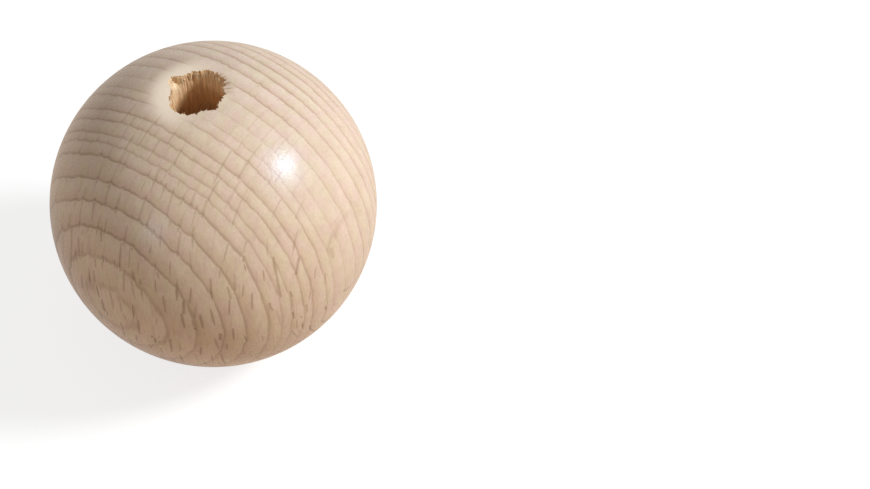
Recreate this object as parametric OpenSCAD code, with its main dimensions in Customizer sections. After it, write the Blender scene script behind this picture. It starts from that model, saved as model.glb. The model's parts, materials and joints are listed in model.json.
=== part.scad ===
// Drilled wooden ball: one turned ball with a hole through its middle
// and rounded lips where the hole comes out.
// +Z runs along the hole and the origin is the centre of the ball.

/* [Ball] */
// Diameter of the turned ball
ball_d = 40; // [25:0.5:60]

/* [Hole] */
// Diameter of the hole drilled through the ball
hole_d = 7; // [3:0.25:10]
// Radius that rounds over each lip of the hole
lip_r = 0.5; // [0.2:0.1:2.5]

/* [Smoothness] */
// Number of facets round the ball when it is drawn as a mesh
ball_facets = 144; // [48:12:360]

/* [Hidden] */
// pale, slightly pink cream of dry beech
beech_cream = [0.87, 0.78, 0.68];
// extra length that lets one cut pass clean through another
overshoot = 1;
ball_r = ball_d / 2;
hole_r = hole_d / 2;
// the rounding stands this little proud, so that it and the ball cross cleanly
lip_proud = 0.005;
// the rounding touches the ball from inside, and touches the wall of the hole
lip_centre_x = hole_r + lip_r;
lip_centre_z = sqrt(pow(ball_r - lip_r + lip_proud, 2) - pow(lip_centre_x, 2));
// direction from the centre of the ball to where the rounding leaves it
lip_angle = atan2(lip_centre_z, lip_centre_x);
// a point outside the ball on that same direction
lip_reach = ball_r + overshoot;

// Material that the rounding takes off the sharp edge of one lip.
module lip_waste() {
    difference() {
        polygon([
            [0, lip_centre_z],
            [lip_centre_x, lip_centre_z],
            [lip_reach * cos(lip_angle), lip_reach * sin(lip_angle)],
            [0, lip_reach],
        ]);
        translate([lip_centre_x, lip_centre_z])
            circle(r = lip_r, $fn = ball_facets);
    }
}

// Half of the section through the ball, to the right of its axis.
module ball_section() {
    difference() {
        circle(r = ball_r, $fn = ball_facets);
        translate([-ball_d - hole_r, -ball_d])
            square([ball_d + 2 * hole_r, 2 * ball_d]);
        lip_waste();
        mirror([0, 1])
            lip_waste();
    }
}

// The ball, turned about the axis of its hole.
module ball() {
    color(beech_cream)
        rotate_extrude($fn = ball_facets)
            ball_section();
}

ball();
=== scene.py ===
"""Looks of a drilled beech ball: the turned skin, the torn rim of its hole, and a plain studio."""
import json
import math

import bpy
import numpy as np
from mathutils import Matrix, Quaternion, Vector


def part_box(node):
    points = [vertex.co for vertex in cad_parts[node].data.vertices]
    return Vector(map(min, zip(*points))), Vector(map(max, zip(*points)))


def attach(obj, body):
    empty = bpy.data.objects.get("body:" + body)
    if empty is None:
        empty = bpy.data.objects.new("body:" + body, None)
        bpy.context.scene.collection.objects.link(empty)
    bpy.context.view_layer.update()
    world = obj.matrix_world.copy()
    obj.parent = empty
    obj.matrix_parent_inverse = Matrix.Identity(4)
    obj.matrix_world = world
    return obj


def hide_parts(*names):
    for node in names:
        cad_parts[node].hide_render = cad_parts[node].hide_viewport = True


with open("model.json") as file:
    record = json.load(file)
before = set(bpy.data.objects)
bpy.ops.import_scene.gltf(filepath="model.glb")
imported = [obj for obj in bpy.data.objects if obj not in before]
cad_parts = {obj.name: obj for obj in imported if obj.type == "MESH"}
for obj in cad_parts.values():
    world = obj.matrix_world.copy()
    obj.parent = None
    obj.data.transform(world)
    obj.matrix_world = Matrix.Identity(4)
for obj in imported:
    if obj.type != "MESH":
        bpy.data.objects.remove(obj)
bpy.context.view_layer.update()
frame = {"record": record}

bl_info = {
    "name": "Drilled Beech Ball",
    "version": (1, 0, 0),
    "blender": (4, 5, 0),
    "location": "3D View > Sidebar > Beech Ball",
    "description": "Builds a turned and drilled beech ball in a plain studio",
    "category": "Add Mesh",
}

MM = 0.001
TURN = 2 * math.pi

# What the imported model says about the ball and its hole.
BALL_LOW, BALL_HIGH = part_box("ball")
BORE = next(m for m in frame["record"]["mounts"] if m["name"] == "bore")
BALL_ACROSS = round((BALL_HIGH - BALL_LOW).x, 4)
HOLE_RADIUS = BORE["dims"]["r_mm"] * MM
BODY = "root"


# --- Sizes and colours that a user may change -----------------------------------------------------


def length(name, description, default):
    return bpy.props.FloatProperty(name=name, description=description, default=default, unit="LENGTH")


def amount(name, description, default):
    return bpy.props.FloatProperty(name=name, description=description, default=default)


def angle(name, description, degrees):
    return bpy.props.FloatProperty(
        name=name, description=description, default=math.radians(degrees), unit="ROTATION"
    )


def count(name, description, default):
    return bpy.props.IntProperty(name=name, description=description, default=default, min=8)


def colour(name, description, default):
    return bpy.props.FloatVectorProperty(
        name=name, description=description, default=default, subtype="COLOR", size=3, min=0, max=1
    )


# Sides of the hole, in degrees round it: where its mouths are worn down most and the skin round
# them is burnished pale and painted lighter as painted light from the key lamp; where the skin at
# their edge is darker in streaks between the fibres; and where the wall is painted paler, partly
# for torn wood and partly as painted light from the key lamp.
WORN_AND_PAINTED_LIGHT_SIDE = 155
DARK_STREAK_SIDE = 18
WALL_PAINTED_LIGHT_SIDE = 180


class BallSizes(bpy.types.PropertyGroup):
    """Sizes of the turned ball and of its drilled hole"""

    across: length("Ball", "Diameter of the turned ball", BALL_ACROSS)
    hole_radius: length("Hole Radius", "Radius of the drilled hole", HOLE_RADIUS)
    rim_radius: length("Rim Radius", "Where fibres that stand into the hole end its mouth", 3.18 * MM)
    worn_reach: length("Worn Reach", "How far from the axis the skin is worn down", 5.6 * MM)
    worn_slope: amount("Worn Slope", "Slope of the worn skin towards the hole", 0.145)
    fibre_relief: length("Fibre Relief", "How far the torn fibres stand out of the wall", 0.10 * MM)
    columns: count("Columns", "Faces round the ball", 300)


class GrainSizes(bpy.types.PropertyGroup):
    """How the ball lies in the tree it was cut from"""

    pith_distance: length("Pith Distance", "From the middle of the ball to the pith", 171 * MM)
    bark_direction: angle("Bark Direction", "Side of the ball that faced the bark", 225.7)
    wave_height: length("Wave Height", "How far the fibres wander sideways", 0.87 * MM)
    wave_length: length("Wave Length", "Length of one wander of the fibres", 32 * MM)


class WoodColours(bpy.types.PropertyGroup):
    """Colours of the beech"""

    early: colour("Early Wood", "Pale wood that grows in spring", (0.84, 0.68, 0.54))
    late: colour("Late Wood", "Darker wood at the end of a year", (0.73, 0.545, 0.41))
    line: colour("Ring Line", "Thin dark line that closes a year", (0.50, 0.35, 0.24))
    ray: colour("Ray", "Flecks and lines of the wood rays", (0.42, 0.27, 0.17))
    # the burnished rim colour is also painted light: it is laid on most on the worn side, which faces the
    # key lamp
    rim: colour("Burnished Rim", "Skin burnished pale round the hole", (1.0, 0.845, 0.68))
    drilled: colour("Drilled Wall", "Raw wood inside the hole", (0.75, 0.445, 0.215))
    # the torn fibre colour also paints the wall paler on the side the key lamp lights, as painted light
    torn: colour("Torn Fibre", "Clean torn fibres at the rim", (0.94, 0.785, 0.545))


class StageSettings(bpy.types.PropertyGroup):
    """Camera and lamps"""

    lens: amount("Lens", "Focal length in millimetres", 135)
    distance: length("Distance", "From the middle of the ball to the camera", 401 * MM)
    ball_left: amount("Ball Left", "How far left of the middle the ball sits, in picture widths", 0.2543)
    ball_up: amount("Ball Up", "How far above the middle the ball sits, in picture widths", 0.0466)
    elevation: angle("Elevation", "How steeply the camera looks down", 47.06)
    roll: angle("Roll", "How far the camera is tipped sideways", 8.49)
    key_direction: angle("Key Direction", "Where the main lamp stands, round the ball", -11.4)
    key_elevation: angle("Key Elevation", "How high the main lamp stands", 36.2)
    key_level: amount("Key Level", "Light of the main lamp on a face turned to it", 0.855)
    fill_direction: angle("Fill Direction", "Where the fill lamp stands, round the ball", -138)
    fill_elevation: angle("Fill Elevation", "How high the fill lamp stands", 22.5)
    fill_level: amount("Fill Level", "Light of the fill lamp on a face turned to it", 0.092)
    room_level: amount("Room Level", "Light that comes from all round", 0.28)


# --- Nodes ----------------------------------------------------------------------------------------


# How nodes are laid out: the step to the next column and row, and how many stand in a column.
NODE_ACROSS, NODE_DOWN, NODES_IN_COLUMN = 180, -170, 6


class Graph:
    """Adds nodes to one tree, from left to right, and joins them."""

    def __init__(self, tree):
        self.tree = tree
        self.made = 0

    def add(self, kind, inputs=None, **settings):
        """A node of this kind. inputs gives each input, by name or number, a value or an output."""
        node = self.tree.nodes.new(kind)
        column, row = divmod(self.made, NODES_IN_COLUMN)
        node.location = (NODE_ACROSS * column, NODE_DOWN * row)
        self.made += 1
        for name, value in settings.items():
            setattr(node, name, value)
        for key, value in (inputs or {}).items():
            self.feed(node.inputs[key], value)
        return node

    def feed(self, socket, value):
        if isinstance(value, bpy.types.NodeSocket):
            self.tree.links.new(value, socket)
        else:
            socket.default_value = value

    def maths(self, operation, *values, clamp=False):
        node = self.add("ShaderNodeMath", dict(enumerate(values)), operation=operation, use_clamp=clamp)
        return node.outputs[0]

    def product(self, first, *others):
        """All these values multiplied together."""
        for other in others:
            first = self.maths("MULTIPLY", first, other)
        return first

    def vector(self, operation, *values):
        node = self.add("ShaderNodeVectorMath", dict(enumerate(values)), operation=operation)
        return node.outputs["Value" if operation == "LENGTH" else "Vector"]

    def combine(self, x, y, z):
        return self.add("ShaderNodeCombineXYZ", {0: x, 1: y, 2: z}).outputs[0]

    def separate(self, vector):
        return self.add("ShaderNodeSeparateXYZ", {0: vector}).outputs

    def smooth(self, value, start, end, low=0.0, high=1.0):
        """A soft step from low to high as value goes from start to end."""
        inputs = {"Value": value, "From Min": start, "From Max": end, "To Min": low, "To Max": high}
        node = self.add("ShaderNodeMapRange", inputs, interpolation_type="SMOOTHSTEP")
        return node.outputs["Result"]

    def in_millimetres(self):
        """Where a point of the skin lies in the object's own coordinates."""
        place = self.add("ShaderNodeTexCoord").outputs["Object"]
        return self.add("ShaderNodeVectorMath", {0: place, "Scale": 1 / MM}, operation="SCALE").outputs[0]

    def noise(self, vector, detail, roughness):
        """Soft noise with features about one unit across, from about 0 to 1."""
        inputs = {"Vector": vector, "Scale": 1.0, "Detail": detail, "Roughness": roughness}
        return self.add("ShaderNodeTexNoise", inputs).outputs["Fac"]

    def blend(self, factor, a, b, blend_type="MIX"):
        node = self.add("ShaderNodeMix", data_type="RGBA", blend_type=blend_type, clamp_factor=True)
        for socket, value in zip((node.inputs[0], node.inputs[6], node.inputs[7]), (factor, a, b)):
            self.feed(socket, value)
        return node.outputs[2]

    def shaded(self, colour_value, shade):
        """The colour made lighter or darker by this factor."""
        return self.blend(1.0, colour_value, self.combine(shade, shade, shade), "MULTIPLY")


def new_group(name, inputs, outputs):
    """An empty shader group with these sockets, given as (name, type, default)."""
    tree = bpy.data.node_groups.new(name, "ShaderNodeTree")
    for socket_name, kind, default in inputs:
        socket = tree.interface.new_socket(socket_name, in_out="INPUT", socket_type=kind)
        if default is not None:
            socket.default_value = default
    for socket_name, kind in outputs:
        tree.interface.new_socket(socket_name, in_out="OUTPUT", socket_type=kind)
    graph = Graph(tree)
    given = tree.nodes.new("NodeGroupInput")
    result = tree.nodes.new("NodeGroupOutput")
    given.location, result.location = (-300, 0), (2600, 0)
    return graph, given.outputs, result.inputs


FLOAT, COLOUR = "NodeSocketFloat", "NodeSocketColor"


def rays_group():
    """Wood rays: thin lens-shaped sheets that run from the pith to the bark. Node is a wider ray,
    and Nearness fades out over almost half a millimetre beside it."""
    graph, given, result = new_group(
        "Wood Rays",
        [
            ("Around", FLOAT, 0.0),
            ("Along", FLOAT, 0.0),
            ("Outward", FLOAT, 0.0),
            ("Gap Around", FLOAT, 1.0),
            ("Gap Along", FLOAT, 3.0),
            ("Reach", FLOAT, 5.0),
            ("Half Height", FLOAT, 1.2),
            ("Half Thickness", FLOAT, 0.08),
        ],
        [("Ray", FLOAT), ("Node", FLOAT), ("Nearness", FLOAT)],
    )
    cell = graph.combine(
        graph.maths("DIVIDE", given["Around"], given["Gap Around"]),
        graph.maths("DIVIDE", given["Along"], given["Gap Along"]),
        graph.maths("DIVIDE", given["Outward"], given["Reach"]),
    )
    nearest = graph.add("ShaderNodeTexVoronoi", {"Vector": cell, "Scale": 1.0, "Randomness": 0.9})
    away = graph.separate(graph.vector("SUBTRACT", cell, nearest.outputs["Position"]))
    chance = graph.separate(nearest.outputs["Color"])
    along = graph.product(away[1], given["Gap Along"])
    # each ray has a height, a thickness, a darkness and a lean of its own
    lean = graph.product(along, graph.smooth(chance[1], 0, 1, -0.12, 0.12))
    around = graph.product(away[0], given["Gap Around"])
    around = graph.maths("ABSOLUTE", graph.maths("ADD", around, lean))
    height = graph.product(given["Half Height"], graph.smooth(chance[0], 0, 1, 0.5, 1.3))
    share = graph.maths("DIVIDE", along, height)
    taper = graph.maths("SUBTRACT", 1.0, graph.product(share, share), clamp=True)
    thickness = graph.product(given["Half Thickness"], graph.smooth(chance[0], 0, 1, 0.6, 1.1))
    half = graph.product(graph.maths("ADD", taper, 0.35), thickness)
    ends = graph.smooth(taper, 0.0, 0.35)
    depth = graph.product(ends, graph.smooth(chance[2], 0.0, 0.8, 0.25, 1.15))
    for name, width in (("Ray", 1.0), ("Node", 1.3)):
        off = graph.maths("DIVIDE", around, graph.product(half, width))
        core = graph.maths("SUBTRACT", 1.0, off, clamp=True)
        graph.feed(result[name], graph.product(graph.smooth(core, 0.0, 0.85), depth))
    near = graph.maths("SUBTRACT", 1.0, graph.maths("DIVIDE", around, 0.45), clamp=True)
    graph.feed(result["Nearness"], graph.product(graph.smooth(near, 0, 1), depth))
    return graph.tree


# Where the outermost year ends, in millimetres from the middle of the ball, and the years from
# there inward: width in millimetres, and how dark the year ends.
BARK_EDGE = 21.0
YEARS = (
    (1.25, 0.5), (0.9, 0.45), (1.45, 0.7), (1.75, 1.0), (1.8, 0.95), (2.1, 1.0), (1.4, 1.0), (1.0, 0.6),
    (1.55, 0.6), (1.3, 0.75), (2.05, 0.9), (1.3, 0.75), (1.95, 0.4), (2.3, 0.25), (2.1, 0.5), (2.4, 1.0),
    (2.0, 1.0), (1.8, 1.0), (1.9, 1.0), (1.6, 0.9), (1.7, 0.8), (1.6, 0.8), (1.8, 0.8), (1.9, 0.7),
    (1.7, 0.7),
)
# Widths are stored as shares of this, because a colour ramp keeps values up to 1.
WIDEST_YEAR = 4.0


def years_group():
    """Growth rings: which year the wood grew in, how far into that year it is, from 0 to 1, how
    many millimetres are left of the year, and how dark the year ends."""
    graph, given, result = new_group(
        "Growth Years",
        [("Outward", FLOAT, 0.0)],
        [("Year", FLOAT), ("Season", FLOAT), ("Left", FLOAT), ("Darkness", FLOAT)],
    )
    ends, place = [], BARK_EDGE
    for width, darkness in YEARS:
        ends.append((place, width, darkness))
        place -= width
    span = BARK_EDGE - place
    share = graph.maths("DIVIDE", graph.maths("SUBTRACT", given["Outward"], place), span)
    curve = graph.add("ShaderNodeFloatCurve", {"Value": share})
    line = curve.mapping.curves[0]
    ramp = graph.add("ShaderNodeValToRGB", {"Fac": share})
    stops = ramp.color_ramp.elements
    for number, (end, width, darkness) in enumerate(ends[1:], start=1):
        at = (end - place) / span
        line.points.new(at, 1 - number / len(ends))
        stops.new(at).color = (width / WIDEST_YEAR, darkness, 0, 1)
    for point in line.points:
        point.handle_type = "VECTOR"
    curve.mapping.update()
    stops[0].color = stops[-1].color = (0.5, 0.5, 0, 1)
    years = graph.product(curve.outputs[0], float(len(ends)))
    season = graph.maths("FRACT", years)
    width, darkness, _ = graph.separate(ramp.outputs["Color"])
    width = graph.product(width, WIDEST_YEAR)
    graph.feed(result["Year"], graph.maths("FLOOR", years))
    graph.feed(result["Season"], season)
    graph.feed(result["Left"], graph.product(graph.maths("SUBTRACT", 1.0, season), width))
    graph.feed(result["Darkness"], darkness)
    return graph.tree


def use_group(graph, name, values):
    """Outputs of a group whose inputs have these values."""
    node = graph.add("ShaderNodeGroup", node_tree=bpy.data.node_groups[name])
    for socket_name, value in values.items():
        graph.feed(node.inputs[socket_name], value)
    return node.outputs


# Factors on the wood's colour: two kinds of blocks, and the side of the tree.
PINKER_BLOCK, STRAW_BLOCK = (1.0, 0.955, 0.975, 1.0), (0.98, 0.985, 0.918, 1.0)
PITH_TONE, BARK_TONE = (1.0, 1.025, 1.07, 1.0), (0.99, 0.98, 0.96, 1.0)


def figure_group(grain):
    """The beech's figure: years of growth, rays and fine fibres, in the ball's own coordinates.
    Inside, every place is in millimetres: outward from the middle of the ball towards the bark,
    around the pith, and along the fibres."""
    graph, given, result = new_group(
        "Beech Figure",
        [
            ("Early Wood", COLOUR, None),
            ("Late Wood", COLOUR, None),
            ("Ring Line", COLOUR, None),
            ("Ray", COLOUR, None),
            ("Strength", FLOAT, 1.0),
        ],
        [("Color", COLOUR), ("Relief", FLOAT), ("Streaks", FLOAT)],
    )
    turned = graph.add(
        "ShaderNodeVectorRotate",
        {"Vector": graph.in_millimetres(), "Angle": -grain.bark_direction},
        rotation_type="Z_AXIS",
    ).outputs[0]
    bark, side, along = graph.separate(turned)

    # the fibres wander sideways in one long wave
    phase = graph.product(graph.maths("SUBTRACT", along, 1.0), TURN * MM / grain.wave_length)
    wave = graph.product(graph.maths("COSINE", phase), grain.wave_height / MM)
    side = graph.maths("SUBTRACT", side, wave)
    pith = grain.pith_distance / MM
    from_pith = graph.maths("ADD", bark, pith)
    outward = graph.maths("SUBTRACT", graph.vector("LENGTH", graph.combine(from_pith, side, 0.0)), pith)
    around = graph.product(graph.maths("ARCTAN2", side, from_pith), pith)
    grown = graph.combine(outward, around, along)

    def noise(place, spread, detail, roughness=0.5):
        """Noise with this many features to the millimetre, in each direction."""
        return graph.noise(graph.vector("MULTIPLY", place, spread), detail, roughness)

    # the years wobble a little and flare at one edge
    slow = noise(turned, (0.12, 0.12, 0.04), 1.0)
    quick = noise(turned, (0.9, 0.9, 0.2), 2.0)
    shift = graph.maths("ADD", graph.smooth(slow, 0.2, 0.8, -0.16, 0.16),
                        graph.smooth(quick, 0.2, 0.8, -0.08, 0.08))
    shift = graph.maths("ADD", shift, graph.smooth(around, -15.0, -8.0, 0.9, 0.0))
    rough_year = use_group(graph, "Growth Years", {"Outward": graph.maths("ADD", outward, shift)})
    # rays differ from year to year, and low down, where height counts less, they are longer
    steps = graph.product(rough_year["Year"], 1.8)
    slower = graph.maths("SUBTRACT", graph.product(along, 0.6), 2.0)
    slower = graph.maths("MAXIMUM", along, slower)

    def rays(gap_around, gap_along, reach, half_height, half_thickness):
        """Rays that start and stop where a year ends, and that are taller low down."""
        return use_group(graph, "Wood Rays", {
            "Around": around, "Along": slower, "Outward": steps,
            "Gap Around": gap_around, "Gap Along": gap_along, "Reach": reach,
            "Half Height": half_height, "Half Thickness": half_thickness,
        })

    # broad rays are thickest half way up the ball, and thinner where the skin runs along them
    flat = graph.maths("ABSOLUTE", around)
    slender = graph.smooth(along, 5.0, 0.0, 0.65, 0.38)
    thickness = graph.product(
        graph.smooth(along, 4.0, -2.0, 0.16, 0.23),
        graph.smooth(flat, 6.0, 17.0, 1.0, slender),
        graph.smooth(along, 0.0, -6.0, 1.0, 0.65),
    )
    broad = rays(1.6, 2.5, 4.0, 1.5, thickness)
    fine = rays(0.9, 1.8, 3.0, 0.8, 0.08)

    # the years dip towards the pith where a broad ray crosses them
    shift = graph.maths("ADD", shift, graph.product(broad["Nearness"], 0.13))
    year = use_group(graph, "Growth Years", {"Outward": graph.maths("ADD", outward, shift)})
    season = year["Season"]

    # the years are fainter on the pith side of one flank and low down, and darker on the other flank
    flank = graph.product(graph.smooth(around, 8.0, 15.0), graph.smooth(outward, 1.0, -5.0))
    low = graph.smooth(along, 0.0, -9.0)
    seen = graph.product(graph.smooth(flank, 0.0, 1.0, 1.0, 0.55), graph.smooth(low, 0.0, 1.0, 1.0, 0.75))
    other_flank = graph.smooth(around, -3.0, -9.0, 1.0, 1.7)
    darkness = graph.maths("MULTIPLY", year["Darkness"], other_flank, clamp=True)
    darkness = graph.product(darkness, graph.product(seen, given["Strength"]))

    # late wood deepens through the year and ends in a line, which is narrower towards the bark and
    # wider towards the pith
    left = graph.product(
        year["Left"],
        graph.smooth(outward, 8.0, 19.0, 1.0, 1.32),
        graph.smooth(outward, 1.0, -8.0, 1.0, 0.74),
    )
    crisp = graph.smooth(left, 0.0, 0.12)
    late = graph.product(graph.smooth(season, 0.25, 0.95), darkness, crisp)
    patches = noise(grown, (0.3, 0.7, 0.35), 2.0)
    closing = graph.product(
        graph.smooth(left, 0.43, 0.14), crisp, graph.smooth(patches, 0.3, 0.6, 0.5, 1.0), darkness
    )

    # patches of darker wood, and blocks that are a little pinker or more straw-coloured
    wood = graph.blend(late, given["Early Wood"], given["Late Wood"])
    wood = graph.blend(graph.smooth(patches, 0.35, 0.7, 0.0, 0.4), wood, given["Late Wood"])
    blocks = noise(grown, (0.55, 0.8, 0.3), 2.0, 0.6)
    tint = graph.blend(graph.smooth(blocks, 0.38, 0.62), PINKER_BLOCK, STRAW_BLOCK)
    wood = graph.blend(1.0, wood, tint, "MULTIPLY")
    tone = graph.blend(graph.smooth(outward, -8.0, 10.0), PITH_TONE, BARK_TONE)
    wood = graph.blend(1.0, wood, tone, "MULTIPLY")

    # fine fibres
    streaks = noise(grown, (5.0, 5.0, 0.6), 3.0, 0.6)
    grit = noise(grown, (3.5, 3.5, 2.2), 2.0, 0.6)
    ripple = noise(grown, (1.7, 1.7, 1.2), 2.0)
    wood = graph.shaded(wood, graph.product(
        graph.smooth(streaks, 0.25, 0.75, 0.98, 1.015),
        graph.smooth(grit, 0.25, 0.75, 0.97, 1.025),
        graph.smooth(ripple, 0.3, 0.7, 0.97, 1.02),
    ))

    # the line is bolder on the bark side, except on one flank
    bold = graph.smooth(outward, 9.0, 15.0, 0.75, graph.smooth(around, 2.0, 9.0, 0.97, 0.75))
    wood = graph.blend(graph.product(closing, bold), wood, given["Ring Line"])

    # rays swell where a year ends
    just_past = graph.maths("MAXIMUM", graph.smooth(season, 0.3, 0.05), graph.smooth(season, 0.8, 0.95))
    node = graph.product(just_past, year["Darkness"])
    ray = graph.blend(node, broad["Ray"], broad["Node"])

    # they are bolder low down, and fainter towards the pith, on end grain and on both flanks
    kept_low = graph.smooth(along, 2.0, -2.0, 0.42, 0.8)
    kept_inside = graph.smooth(outward, 9.0, 14.0, 1.0, 0.85)
    shown = graph.product(
        graph.smooth(outward, -5.0, 6.0, 0.25, 1.0),
        graph.smooth(along, 3.0, 14.0, 1.0, 0.4),
        graph.smooth(along, 0.0, -8.0, 1.0, 1.5),
        graph.smooth(flat, 15.0, 19.5, 1.0, kept_low),
        graph.smooth(around, -4.0, -10.0, 1.0, 0.6),
        graph.smooth(around, 3.0, 9.0, 1.0, kept_inside),
        given["Strength"],
    )
    ray = graph.product(ray, graph.product(shown, graph.smooth(node, 0, 1, 0.7, 1.0)))
    wood = graph.blend(graph.product(fine["Ray"], shown, 0.15), wood, given["Ray"])
    wood = graph.blend(ray, wood, given["Ray"])
    graph.feed(result["Color"], wood)

    relief = graph.maths("ADD", graph.product(streaks, 0.3), graph.product(grit, 0.5))
    relief = graph.maths("ADD", relief, graph.product(ripple, 0.6))
    relief = graph.maths("SUBTRACT", relief, graph.product(ray, 0.35))
    relief = graph.maths("SUBTRACT", relief, graph.product(closing, 0.25))
    graph.feed(result["Relief"], relief)
    graph.feed(result["Streaks"], streaks)
    return graph.tree


def four(colour_value):
    """The colour with a full alpha."""
    return (*colour_value, 1.0)


def figure_in(graph, colours, strength):
    """The beech figure in a material, with that material's own colours."""
    return use_group(graph, "Beech Figure", {
        "Early Wood": four(colours.early), "Late Wood": four(colours.late),
        "Ring Line": four(colours.line), "Ray": four(colours.ray), "Strength": strength,
    })


def new_material(name):
    """A material whose nodes are cleared, with its Principled shader and its graph."""
    material = bpy.data.materials.new(name)
    material.use_nodes = True
    material.node_tree.nodes.clear()
    graph = Graph(material.node_tree)
    shader = graph.add("ShaderNodeBsdfPrincipled")
    end = graph.add("ShaderNodeOutputMaterial", {"Surface": shader.outputs[0]})
    shader.location, end.location = (2200, 0), (2500, 0)
    return material, graph, shader


def bore_place(graph):
    """Distance from the axis of the hole, angle round it, depth below the nearer end of the ball
    and height above its middle, in millimetres and radians."""
    x, y, z = graph.separate(graph.in_millimetres())
    off_axis = graph.vector("LENGTH", graph.combine(x, y, 0.0))
    depth = graph.maths("SUBTRACT", BALL_HIGH.z / MM, graph.maths("ABSOLUTE", z))
    return off_axis, graph.maths("ARCTAN2", y, x), depth, z


def facing(graph, turn, side):
    """1 on this side of the hole, in degrees round it, down to -1 on the opposite side."""
    return graph.maths("COSINE", graph.maths("SUBTRACT", turn, math.radians(side)))


def strands_in(graph, turn, z):
    """Fibres drawn out along the hole."""
    place = graph.combine(graph.product(turn, 9.0), 0.0, graph.product(z, 0.35))
    return graph.noise(place, 4.0, 0.65)


def polished_beech(colours):
    """Sanded and lightly waxed outside of the ball."""
    material, graph, shader = new_material("polished_beech")
    off_axis, turn, _, z = bore_place(graph)
    # the figure fades at the edge of the hole. There the skin is burnished pale and painted lighter as
    # painted light on its worn side, which faces the key lamp, and darker in streaks between the fibres
    # on another side
    figure = figure_in(graph, colours, graph.smooth(off_axis, 3.7, 5.2, 0.2, 1.0))
    # painted light: paler skin round the hole, partly burnish and partly standing in for the key lamp's
    # light on the worn slope
    pale = graph.product(
        graph.smooth(off_axis, 4.3, 6.9, 0.95, 0.0),
        graph.smooth(facing(graph, turn, WORN_AND_PAINTED_LIGHT_SIDE), -0.5, 0.7, 0.1, 1.0),
    )
    skin = graph.blend(pale, figure["Color"], four(colours.rim))
    # darker in streaks between the fibres, near the edge on one side of the hole
    dark_streaks = graph.product(
        graph.smooth(off_axis, 3.7, 4.6, 1.0, 0.0),
        graph.smooth(facing(graph, turn, DARK_STREAK_SIDE), 0.8, 0.98),
        graph.smooth(strands_in(graph, turn, z), 0.42, 0.56, 0.15, 1.0),
    )
    graph.feed(shader.inputs["Base Color"], graph.blend(dark_streaks, skin, four(colours.ray)))
    graph.feed(shader.inputs["Roughness"], graph.smooth(figure["Streaks"], 0.3, 0.7, 0.24, 0.34))
    shader.inputs["Specular IOR Level"].default_value = 0.33
    # what the wax reflects looks a little cold
    shader.inputs["Specular Tint"].default_value = (0.54, 0.76, 1.0, 1.0)
    bump = graph.add("ShaderNodeBump", {"Height": figure["Relief"], "Distance": 0.02 * MM, "Strength": 1.0})
    graph.feed(shader.inputs["Normal"], bump.outputs[0])
    return material


def drilled_beech(colours):
    """Raw wall of the hole: warm, dull and fibrous, with pale torn wood near its mouths, and painted
    lighter on the side that the key lamp lights, as painted light."""
    material, graph, shader = new_material("drilled_beech")
    _, turn, depth, z = bore_place(graph)
    strands = strands_in(graph, turn, z)
    # paler near the mouths, where the wood is torn, and painted light: paler on the side of the wall that
    # the key lamp lights
    torn_and_painted_light = graph.product(
        graph.smooth(depth, 0.8, 5.0, 0.9, 0.1),
        graph.smooth(strands, 0.38, 0.58, 0.3, 1.0),
        graph.smooth(facing(graph, turn, WALL_PAINTED_LIGHT_SIDE), 0.1, 0.75, 0.25, 1.0),
    )
    wall = graph.blend(torn_and_painted_light, four(colours.drilled), four(colours.torn))
    wall = graph.shaded(wall, graph.smooth(strands, 0.32, 0.64, 0.82, 1.08))
    graph.feed(shader.inputs["Base Color"], wall)
    shader.inputs["Roughness"].default_value = 0.75
    shader.inputs["Specular IOR Level"].default_value = 0.3
    bump = graph.add("ShaderNodeBump", {"Height": strands, "Distance": 0.06 * MM, "Strength": 0.7})
    graph.feed(shader.inputs["Normal"], bump.outputs[0])
    return material


def torn_beech(colours):
    """Clean pale splinters, some of them half way to the wall's colour."""
    material, graph, shader = new_material("torn_beech")
    _, turn, _, z = bore_place(graph)
    darker = graph.smooth(strands_in(graph, turn, z), 0.3, 0.7, 0.5, 0.0)
    splinter = graph.blend(darker, four(colours.torn), four(colours.drilled))
    graph.feed(shader.inputs["Base Color"], splinter)
    shader.inputs["Roughness"].default_value = 0.7
    return material


# --- The turned ball ------------------------------------------------------------------------------

# Where tearing widens each mouth: direction and half width in degrees, depth in millimetres.
TOP_TEARS = (
    (60, 45, 0.85), (132, 16, 1.2), (221, 37, 0.6), (303, 16, 0.4),
    (10, 2.0, 0.30), (23, 2.5, 0.35), (345, 2.5, 0.25), (262, 2.0, 0.15),
)
BOTTOM_TEARS = (
    (20, 26, 0.50), (112, 18, 0.70), (205, 34, 0.55), (300, 20, 0.45),
    (66, 2.5, 0.30), (158, 2.0, 0.25), (250, 2.5, 0.30), (334, 2.0, 0.25),
)

# Hollows torn out of the wall: direction and half width in degrees, how far below the edge the
# middle lies, its half height and its depth in millimetres.
TOP_HOLLOWS = ((125, 5, 0.7, 0.45, 0.7), (176, 4, 0.9, 0.6, 0.25), (92, 4, 1.3, 0.6, 0.2))
BOTTOM_HOLLOWS = ((110, 6, 0.8, 0.5, 0.4), (215, 5, 1.1, 0.5, 0.3))

# Within this distance of the axis the rings of points are finer. This many lie on the skin there,
# then more at these depths below the torn edge, in millimetres, this many from there to the middle
# of the wall, and this many on the ball between its two mouths.
SKIN_EDGE = 8.0 * MM
SKIN_RINGS = 22
WALL_DEPTHS = (0.03, 0.07, 0.12, 0.18, 0.26, 0.36, 0.48, 0.62, 0.8, 1.0, 1.25, 1.5, 1.8, 2.1, 2.5,
               3.0, 3.5, 4.1, 4.8, 5.6, 6.5, 7.5)
DEEP_RINGS = 12
MIDDLE_RINGS = 104
# How softly the worn skin runs out into the ball.
WORN_BLEND = 0.45 * MM

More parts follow.
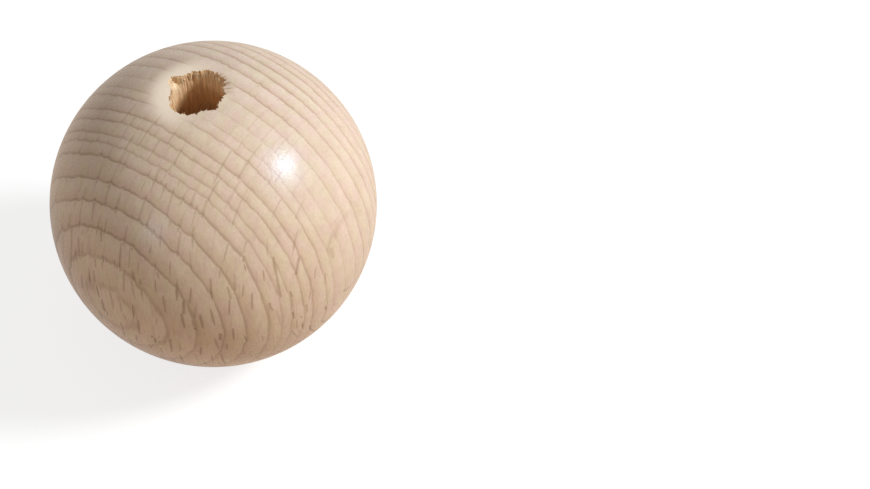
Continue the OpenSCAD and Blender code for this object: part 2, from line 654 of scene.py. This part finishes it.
# Strands that shape the torn edge, as number round the hole and height in millimetres, and the
# ridges on the wall, as number, length in millimetres and height as a share of the fibre relief.
TEETH = ((12, 0.10), (40, 0.10), (90, 0.12), (190, 0.09))
RIDGES = ((24, 6.0, 0.6), (60, 3.5, 0.7), (130, 2.0, 0.6), (260, 1.2, 0.3))


class Strands:
    """Noise that repeats round the hole and is drawn out along it."""

    def __init__(self, rng, number, run, height):
        # enough rows for the whole wall, and a few to spare
        rows = int(BALL_HIGH.z / (run * MM)) + 4
        self.lattice = rng.uniform(-height, height, (rows, number))
        self.number, self.run = number, run * MM

    def at(self, turn, depth):
        """Height of the strands at this angle and this far below the rim."""
        around, along = turn * self.number / TURN, depth / self.run
        i, j = np.floor(around).astype(int), np.floor(along).astype(int)
        u, v = around - i, along - j
        u, v = u * u * (3 - 2 * u), v * v * (3 - 2 * v)
        i, i2 = i % self.number, (i + 1) % self.number
        upper = self.lattice[j, i] * (1 - u) + self.lattice[j, i2] * u
        lower = self.lattice[j + 1, i] * (1 - u) + self.lattice[j + 1, i2] * u
        return upper * (1 - v) + lower * v


def bump_at(turn, centre, half_width):
    """A smooth bump round the hole, one high, with its centre and half width in degrees."""
    off = (turn - math.radians(centre) + math.pi) % TURN - math.pi
    return np.exp(-((off / math.radians(half_width)) ** 2))


class Mouth:
    """One mouth of the hole: polished skin, torn rim and the fibrous wall below it."""

    def __init__(self, sizes, tears, hollows, seed):
        rng = np.random.default_rng(seed)
        self.sizes, self.tears, self.hollows = sizes, tears, hollows
        self.teeth = [Strands(rng, number, 1.0, height) for number, height in TEETH]
        self.ridges = [Strands(rng, number, run, height) for number, run, height in RIDGES]

    def rim(self, turn):
        """Distance from the axis to the torn edge at these angles."""
        depth = sum(strands.at(turn, 0 * turn) for strands in self.teeth)
        for centre, half_width, tear in self.tears:
            depth = depth + tear * bump_at(turn, centre, half_width)
        return self.sizes.rim_radius + depth * MM

    def skin(self, turn, radius):
        """Height of the polished skin: the ball, worn down round the hole, most of all on one side."""
        sizes = self.sizes
        ball = np.sqrt((sizes.across / 2) ** 2 - radius**2)
        inside = WORN_BLEND * np.log1p(np.exp((sizes.worn_reach - radius) / WORN_BLEND))
        lopsided = 1 + 0.5 * np.cos(turn - math.radians(WORN_AND_PAINTED_LIGHT_SIDE))
        return ball - sizes.worn_slope * lopsided * inside

    def wall(self, turn, depth):
        """Distance from the axis to the wall at these angles, this far below the torn edge."""
        sizes = self.sizes
        ridges = sum(strands.at(turn, depth) for strands in self.ridges)
        # the ridges stand out most near the edge
        strength = 0.35 + 0.95 * np.exp(-depth / (2.0 * MM))
        drilled = sizes.hole_radius + sizes.fibre_relief * strength * ridges
        # the torn edge runs out into the drilled wall, faster where it stands into the hole
        torn = self.rim(turn) - drilled
        settle = np.where(torn > 0, 0.9, 0.5) * MM
        wall = drilled + torn * np.exp(-depth / settle)
        for centre, half_width, below, half_height, hollow in self.hollows:
            upright = np.exp(-(((depth / MM - below) / half_height) ** 2))
            wall = wall + hollow * MM * upright * bump_at(turn, centre, half_width)
        return wall

    def rings(self):
        """Rings from the ball's skin to the middle of the wall."""
        fine, coarse = turns(2 * self.sizes.columns), turns(self.sizes.columns)
        rim = self.rim(fine)
        # the rings crowd towards the rim
        out = [rim + (SKIN_EDGE - rim) * share**1.6 for share in np.linspace(1, 0, SKIN_RINGS)]
        rings = [ring(fine, radius, self.skin(fine, radius)) for radius in out]
        # down the wall they grow level
        edge = self.skin(fine, rim)
        for depth in WALL_DEPTHS:
            level = (depth / WALL_DEPTHS[-1]) ** 2
            height = edge + (edge.mean() - edge) * level - depth * MM
            rings.append(ring(fine, self.wall(fine, 0 * fine + depth * MM), height))
        last = edge.mean() - WALL_DEPTHS[-1] * MM
        for height in np.linspace(last, 0, DEEP_RINGS + 1)[1:]:
            depth = edge.mean() - height
            rings.append(ring(coarse, self.wall(coarse, 0 * coarse + depth), height))
        return rings


def top_mouth(sizes):
    return Mouth(sizes, TOP_TEARS, TOP_HOLLOWS, seed=7542)


def bottom_mouth(sizes):
    return Mouth(sizes, BOTTOM_TEARS, BOTTOM_HOLLOWS, seed=8)


def turns(columns):
    """Angles of this many columns, evenly spaced round the axis."""
    return np.arange(columns) * TURN / columns


def ring(turn, radius, height):
    """Points round the axis at these angles."""
    return np.stack([radius * np.cos(turn), radius * np.sin(turn), height + 0 * turn], -1)


def bridge(upper, lower):
    """Faces between two rings of points, of which one may have twice as many as the other."""
    if len(upper) == len(lower):
        return list(zip(upper, lower, np.roll(lower, -1), np.roll(upper, -1)))
    faces = []
    if len(lower) == 2 * len(upper):
        for i, (start, end) in enumerate(zip(upper, np.roll(upper, -1))):
            first, middle, last = lower[2 * i], lower[2 * i + 1], lower[(2 * i + 2) % len(lower)]
            faces += [(start, first, middle), (start, middle, end), (end, middle, last)]
    else:
        for i, (start, end) in enumerate(zip(lower, np.roll(lower, -1))):
            first, middle, last = upper[2 * i], upper[2 * i + 1], upper[(2 * i + 2) % len(upper)]
            faces += [(first, start, middle), (middle, start, end), (middle, end, last)]
    return faces


def ball_mesh(sizes):
    """The closed skin of the ball and its hole. Material 0 is polished, material 1 is drilled."""
    top, bottom = top_mouth(sizes).rings(), bottom_mouth(sizes).rings()
    flip = np.array((1, 1, -1))
    start = math.asin(SKIN_EDGE / (sizes.across / 2))
    coarse = turns(sizes.columns)
    middle = [ring(coarse, sizes.across / 2 * math.sin(tilt), sizes.across / 2 * math.cos(tilt))
              for tilt in np.linspace(start, math.pi - start, MIDDLE_RINGS + 2)[1:-1]]
    rings = top[::-1] + middle + [points * flip for points in bottom[:-1]]
    first_edge = len(top) - SKIN_RINGS
    last_edge = len(top) + len(middle) + SKIN_RINGS - 1

    starts = np.cumsum([0] + [len(points) for points in rings])
    numbers = [range(starts[i], starts[i + 1]) for i in range(len(rings))]
    faces, materials = [], []
    for i, upper in enumerate(numbers):
        made = bridge(np.array(upper), np.array(numbers[(i + 1) % len(numbers)]))
        faces += made
        materials += [int(i < first_edge or i >= last_edge)] * len(made)
    mesh = bpy.data.meshes.new("turned_ball")
    mesh.from_pydata(np.concatenate(rings), [], faces)
    mesh.polygons.foreach_set("use_smooth", [True] * len(faces))
    mesh.polygons.foreach_set("material_index", materials)
    crease(mesh, (numbers[first_edge], numbers[last_edge]))
    mesh.update()
    return mesh


def crease(mesh, rings):
    """Marks the edges of these rings of points as sharp."""
    ends = np.zeros(len(mesh.edges) * 2, np.int32)
    mesh.edges.foreach_get("vertices", ends)
    ends = ends.reshape(-1, 2)
    sharp = np.zeros(len(ends), bool)
    for points in rings:
        sharp |= ((ends >= points.start) & (ends < points.stop)).all(1)
    attribute = mesh.attributes.new("sharp_edge", "BOOLEAN", "EDGE")
    attribute.data.foreach_set("value", sharp)


def show(name, mesh):
    """A new object in the scene that holds this mesh."""
    piece = bpy.data.objects.new(name, mesh)
    bpy.context.scene.collection.objects.link(piece)
    return piece


class BEECH_OT_turned_ball(bpy.types.Operator):
    """Turned ball with its drilled hole and the torn rims of the hole"""

    bl_idname = "beech.turned_ball"
    bl_label = "Turned Ball"

    def execute(self, context):
        sizes, colours = context.scene.beech_sizes, context.scene.beech_colours
        rays_group()
        years_group()
        figure_group(context.scene.beech_grain)
        mesh = ball_mesh(sizes)
        mesh.materials.append(polished_beech(colours))
        mesh.materials.append(drilled_beech(colours))
        ball = show("turned_ball", mesh)
        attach(ball, BODY)
        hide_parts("ball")
        return {"FINISHED"}


# --- Torn fibres ----------------------------------------------------------------------------------

# A splinter's sections, as share of the way to its tip and share of its full width, how far it
# bows out in thicknesses, and how deep in the wall it starts.
SECTIONS = ((0.0, 0.8), (0.35, 1.0), (0.72, 0.6))
BOW = 0.6
ROOT_DEPTH = 0.03 * MM


def sliver(root, tip, side, across, thick):
    """A pointed splinter from root to tip, three sections and a point."""
    points = []
    lift = (tip - root).cross(side).normalized()
    for share, width in SECTIONS:
        centre = root.lerp(tip, share) + lift * thick * BOW * math.sin(share * math.pi)
        for x, y in ((-0.5, -0.5), (0.5, -0.5), (0.5, 0.5), (-0.5, 0.5)):
            points.append(centre + side * across * width * x + lift * thick * width * y)
    points.append(tip)
    faces = [(3, 2, 1, 0)]
    for row in (0, 4):
        faces += [(row + i, row + (i + 1) % 4, row + 4 + (i + 1) % 4, row + 4 + i) for i in range(4)]
    faces += [(8 + i, 8 + (i + 1) % 4, 12) for i in range(4)]
    return points, faces


def fibres_at(mouth, number, seed, upward):
    """Splinters round one mouth, rooted in its wall."""
    rng = np.random.default_rng(seed)
    points, faces = [], []
    for _ in range(number):
        turn = rng.uniform(0, TURN)
        rim = float(mouth.rim(np.array([turn]))[0])
        edge = float(mouth.skin(turn, rim))
        below = rng.uniform(0.25, 1.3) * MM
        above = rng.uniform(-0.35, 0.12) * MM
        wall = float(mouth.wall(np.array([turn]), np.array([below]))[0])
        lean = rng.uniform(0.02, 0.30) * MM
        drift = rng.uniform(-0.05, 0.05)
        out = Vector((math.cos(turn), math.sin(turn), 0))
        swung = Vector((math.cos(turn + drift), math.sin(turn + drift), 0))
        root = out * (wall + ROOT_DEPTH) + Vector((0, 0, edge - below))
        tip = swung * (rim - lean) + Vector((0, 0, edge + above))
        side = Vector((-out.y, out.x, 0))
        across, thick = rng.uniform(0.06, 0.18) * MM, rng.uniform(0.04, 0.09) * MM
        made, sides = sliver(root, tip, side, across, thick)
        start = len(points)
        points += made
        faces += [tuple(start + i for i in face) for face in sides]
    flip = 1 if upward else -1
    points = [(x, y, z * flip) for x, y, z in points]
    if not upward:
        faces = [face[::-1] for face in faces]
    return points, faces


class BEECH_OT_torn_fibres(bpy.types.Operator):
    """Small splinters that stand up round both mouths of the hole"""

    bl_idname = "beech.torn_fibres"
    bl_label = "Torn Fibres"

    def execute(self, context):
        sizes, colours = context.scene.beech_sizes, context.scene.beech_colours
        mesh = bpy.data.meshes.new("torn_fibres")
        points, faces = fibres_at(top_mouth(sizes), number=170, seed=21, upward=True)
        more, sides = fibres_at(bottom_mouth(sizes), number=140, seed=22, upward=False)
        faces += [tuple(len(points) + i for i in face) for face in sides]
        mesh.from_pydata(points + more, [], faces)
        mesh.materials.append(torn_beech(colours))
        fibres = show("torn_fibres", mesh)
        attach(fibres, BODY)
        return {"FINISHED"}


# --- Studio ---------------------------------------------------------------------------------------

# Lamps: distance from the ball and size in metres, and colour.
KEY_DISTANCE, KEY_ACROSS, KEY_TINT = 0.9, 0.21, (0.98, 1.0, 1.01)
FILL_DISTANCE, FILL_ACROSS, FILL_TINT = 0.7, 0.09, (1.04, 0.98, 0.93)

# Floor: half its width in metres, its colour as it lights the ball and as the camera sees it, its
# glow as the ball mirrors it, and its glow to the camera, close to the ball and far off. The last
# grows between these distances from the ball.
FLOOR_REACH = 4.0
FLOOR_WARM, FLOOR_SEEN = (0.5, 0.33, 0.17, 1), (0.36, 0.36, 0.36, 1)
FLOOR_MIRRORED = (0.48, 0.48, 0.50, 1)
GLOW_CLOSE, GLOW_FAR = 0.76, 1.0
GLOW_STARTS, GLOW_ENDS = 0.2, 0.9


def towards(direction, elevation):
    """Unit vector at this angle round the ball and this height above the floor."""
    return Vector((math.cos(elevation) * math.cos(direction),
                   math.cos(elevation) * math.sin(direction), math.sin(elevation)))


def lamp(name, place, across, level, tint):
    """A round lamp aimed at the ball. level is its light on a white face turned to it."""
    light = bpy.data.lights.new(name, "AREA")
    light.shape = "DISK"
    light.size = across
    light.color = tint
    light.energy = level * math.pi**2 * place.length_squared
    holder = bpy.data.objects.new(name, light)
    bpy.context.scene.collection.objects.link(holder)
    holder.location = place
    holder.rotation_euler = (-place).to_track_quat("-Z", "Y").to_euler()


def floor_material():
    """Matt pale floor. The camera sees it near white, plain white far off, and it keeps shadows."""
    material, graph, shader = new_material("pale_floor")
    path = graph.add("ShaderNodeLightPath")
    seen = path.outputs["Is Camera Ray"]
    graph.feed(shader.inputs["Base Color"], graph.blend(seen, FLOOR_WARM, FLOOR_SEEN))
    shader.inputs["Roughness"].default_value = 1.0
    shader.inputs["Specular IOR Level"].default_value = 0.0
    mirrored = graph.blend(path.outputs["Is Glossy Ray"], (0, 0, 0, 1), FLOOR_MIRRORED)
    away = graph.vector("LENGTH", graph.add("ShaderNodeTexCoord").outputs["Object"])
    glow = graph.smooth(away, GLOW_STARTS, GLOW_ENDS, GLOW_CLOSE, GLOW_FAR)
    glow = graph.blend(seen, mirrored, graph.combine(glow, glow, glow))
    graph.feed(shader.inputs["Emission Color"], glow)
    shader.inputs["Emission Strength"].default_value = 1.0
    return material


def room(level):
    """Even light from all round, which the camera sees as plain white."""
    world = bpy.data.worlds.new("pale_room")
    bpy.context.scene.world = world
    world.use_nodes = True
    world.node_tree.nodes.clear()
    graph = Graph(world.node_tree)
    seen = graph.add("ShaderNodeLightPath").outputs["Is Camera Ray"]
    strength = graph.smooth(seen, 0, 1, level, 1.0)
    light = graph.add("ShaderNodeBackground", {"Color": (1, 1, 1, 1), "Strength": strength})
    graph.add("ShaderNodeOutputWorld", {"Surface": light.outputs[0]})


class BEECH_OT_stage(bpy.types.Operator):
    """Pale floor, soft lamps and the camera"""

    bl_idname = "beech.stage"
    bl_label = "Stage"

    def execute(self, context):
        stage = context.scene.beech_stage
        self.floor()
        place = KEY_DISTANCE * towards(stage.key_direction, stage.key_elevation)
        lamp("key_lamp", place, KEY_ACROSS, stage.key_level, KEY_TINT)
        place = FILL_DISTANCE * towards(stage.fill_direction, stage.fill_elevation)
        lamp("fill_lamp", place, FILL_ACROSS, stage.fill_level, FILL_TINT)
        room(stage.room_level)
        self.camera(stage)
        context.scene.view_settings.view_transform = "Standard"
        return {"FINISHED"}

    def floor(self):
        sides = ((-1, -1), (1, -1), (1, 1), (-1, 1))
        corners = [(x * FLOOR_REACH, y * FLOOR_REACH, BALL_LOW.z) for x, y in sides]
        mesh = bpy.data.meshes.new("floor")
        mesh.from_pydata(corners, [], [(0, 1, 2, 3)])
        mesh.materials.append(floor_material())
        show("floor", mesh)

    def camera(self, stage):
        data = bpy.data.cameras.new("camera")
        data.lens = stage.lens
        data.clip_end = 50
        holder = bpy.data.objects.new("camera", data)
        bpy.context.scene.collection.objects.link(holder)
        view = towards(-math.pi / 2, stage.elevation)
        holder.location = view * stage.distance
        # aim at the ball, tip sideways, then turn until the ball sits where it should
        aimed = (-view).to_track_quat("-Z", "Y")
        tip = Quaternion((0, 0, 1), -stage.roll)
        picture = data.sensor_width / stage.lens
        ball = Vector((-stage.ball_left * picture, stage.ball_up * picture, -1))
        aside = ball.rotation_difference(Vector((0, 0, -1)))
        holder.rotation_mode = "QUATERNION"
        holder.rotation_quaternion = aimed @ tip @ aside
        bpy.context.scene.camera = holder


class BEECH_PT_panel(bpy.types.Panel):
    """Lists the pieces of the ball and its stage"""

    bl_idname = "BEECH_PT_panel"
    bl_label = "Drilled Beech Ball"
    bl_space_type = "VIEW_3D"
    bl_region_type = "UI"
    bl_category = "Beech Ball"

    def draw(self, context):
        column = self.layout.column()
        for operator in (BEECH_OT_turned_ball, BEECH_OT_torn_fibres, BEECH_OT_stage):
            column.operator(operator.bl_idname)
        for name in SETTINGS:
            group = getattr(context.scene, name)
            box = self.layout.box()
            for key in group.__annotations__:
                box.prop(group, key)


SETTINGS = {
    "beech_sizes": BallSizes,
    "beech_grain": GrainSizes,
    "beech_colours": WoodColours,
    "beech_stage": StageSettings,
}
CLASSES = (
    *SETTINGS.values(), BEECH_OT_turned_ball, BEECH_OT_torn_fibres, BEECH_OT_stage, BEECH_PT_panel,
)


def register():
    for cls in CLASSES:
        bpy.utils.register_class(cls)
    for name, group in SETTINGS.items():
        setattr(bpy.types.Scene, name, bpy.props.PointerProperty(type=group))


def unregister():
    for name in SETTINGS:
        delattr(bpy.types.Scene, name)
    for cls in reversed(CLASSES):
        bpy.utils.unregister_class(cls)


def main():
    register()
    bpy.ops.beech.turned_ball()
    bpy.ops.beech.torn_fibres()
    bpy.ops.beech.stage()


if __name__ == "__main__":
    main()
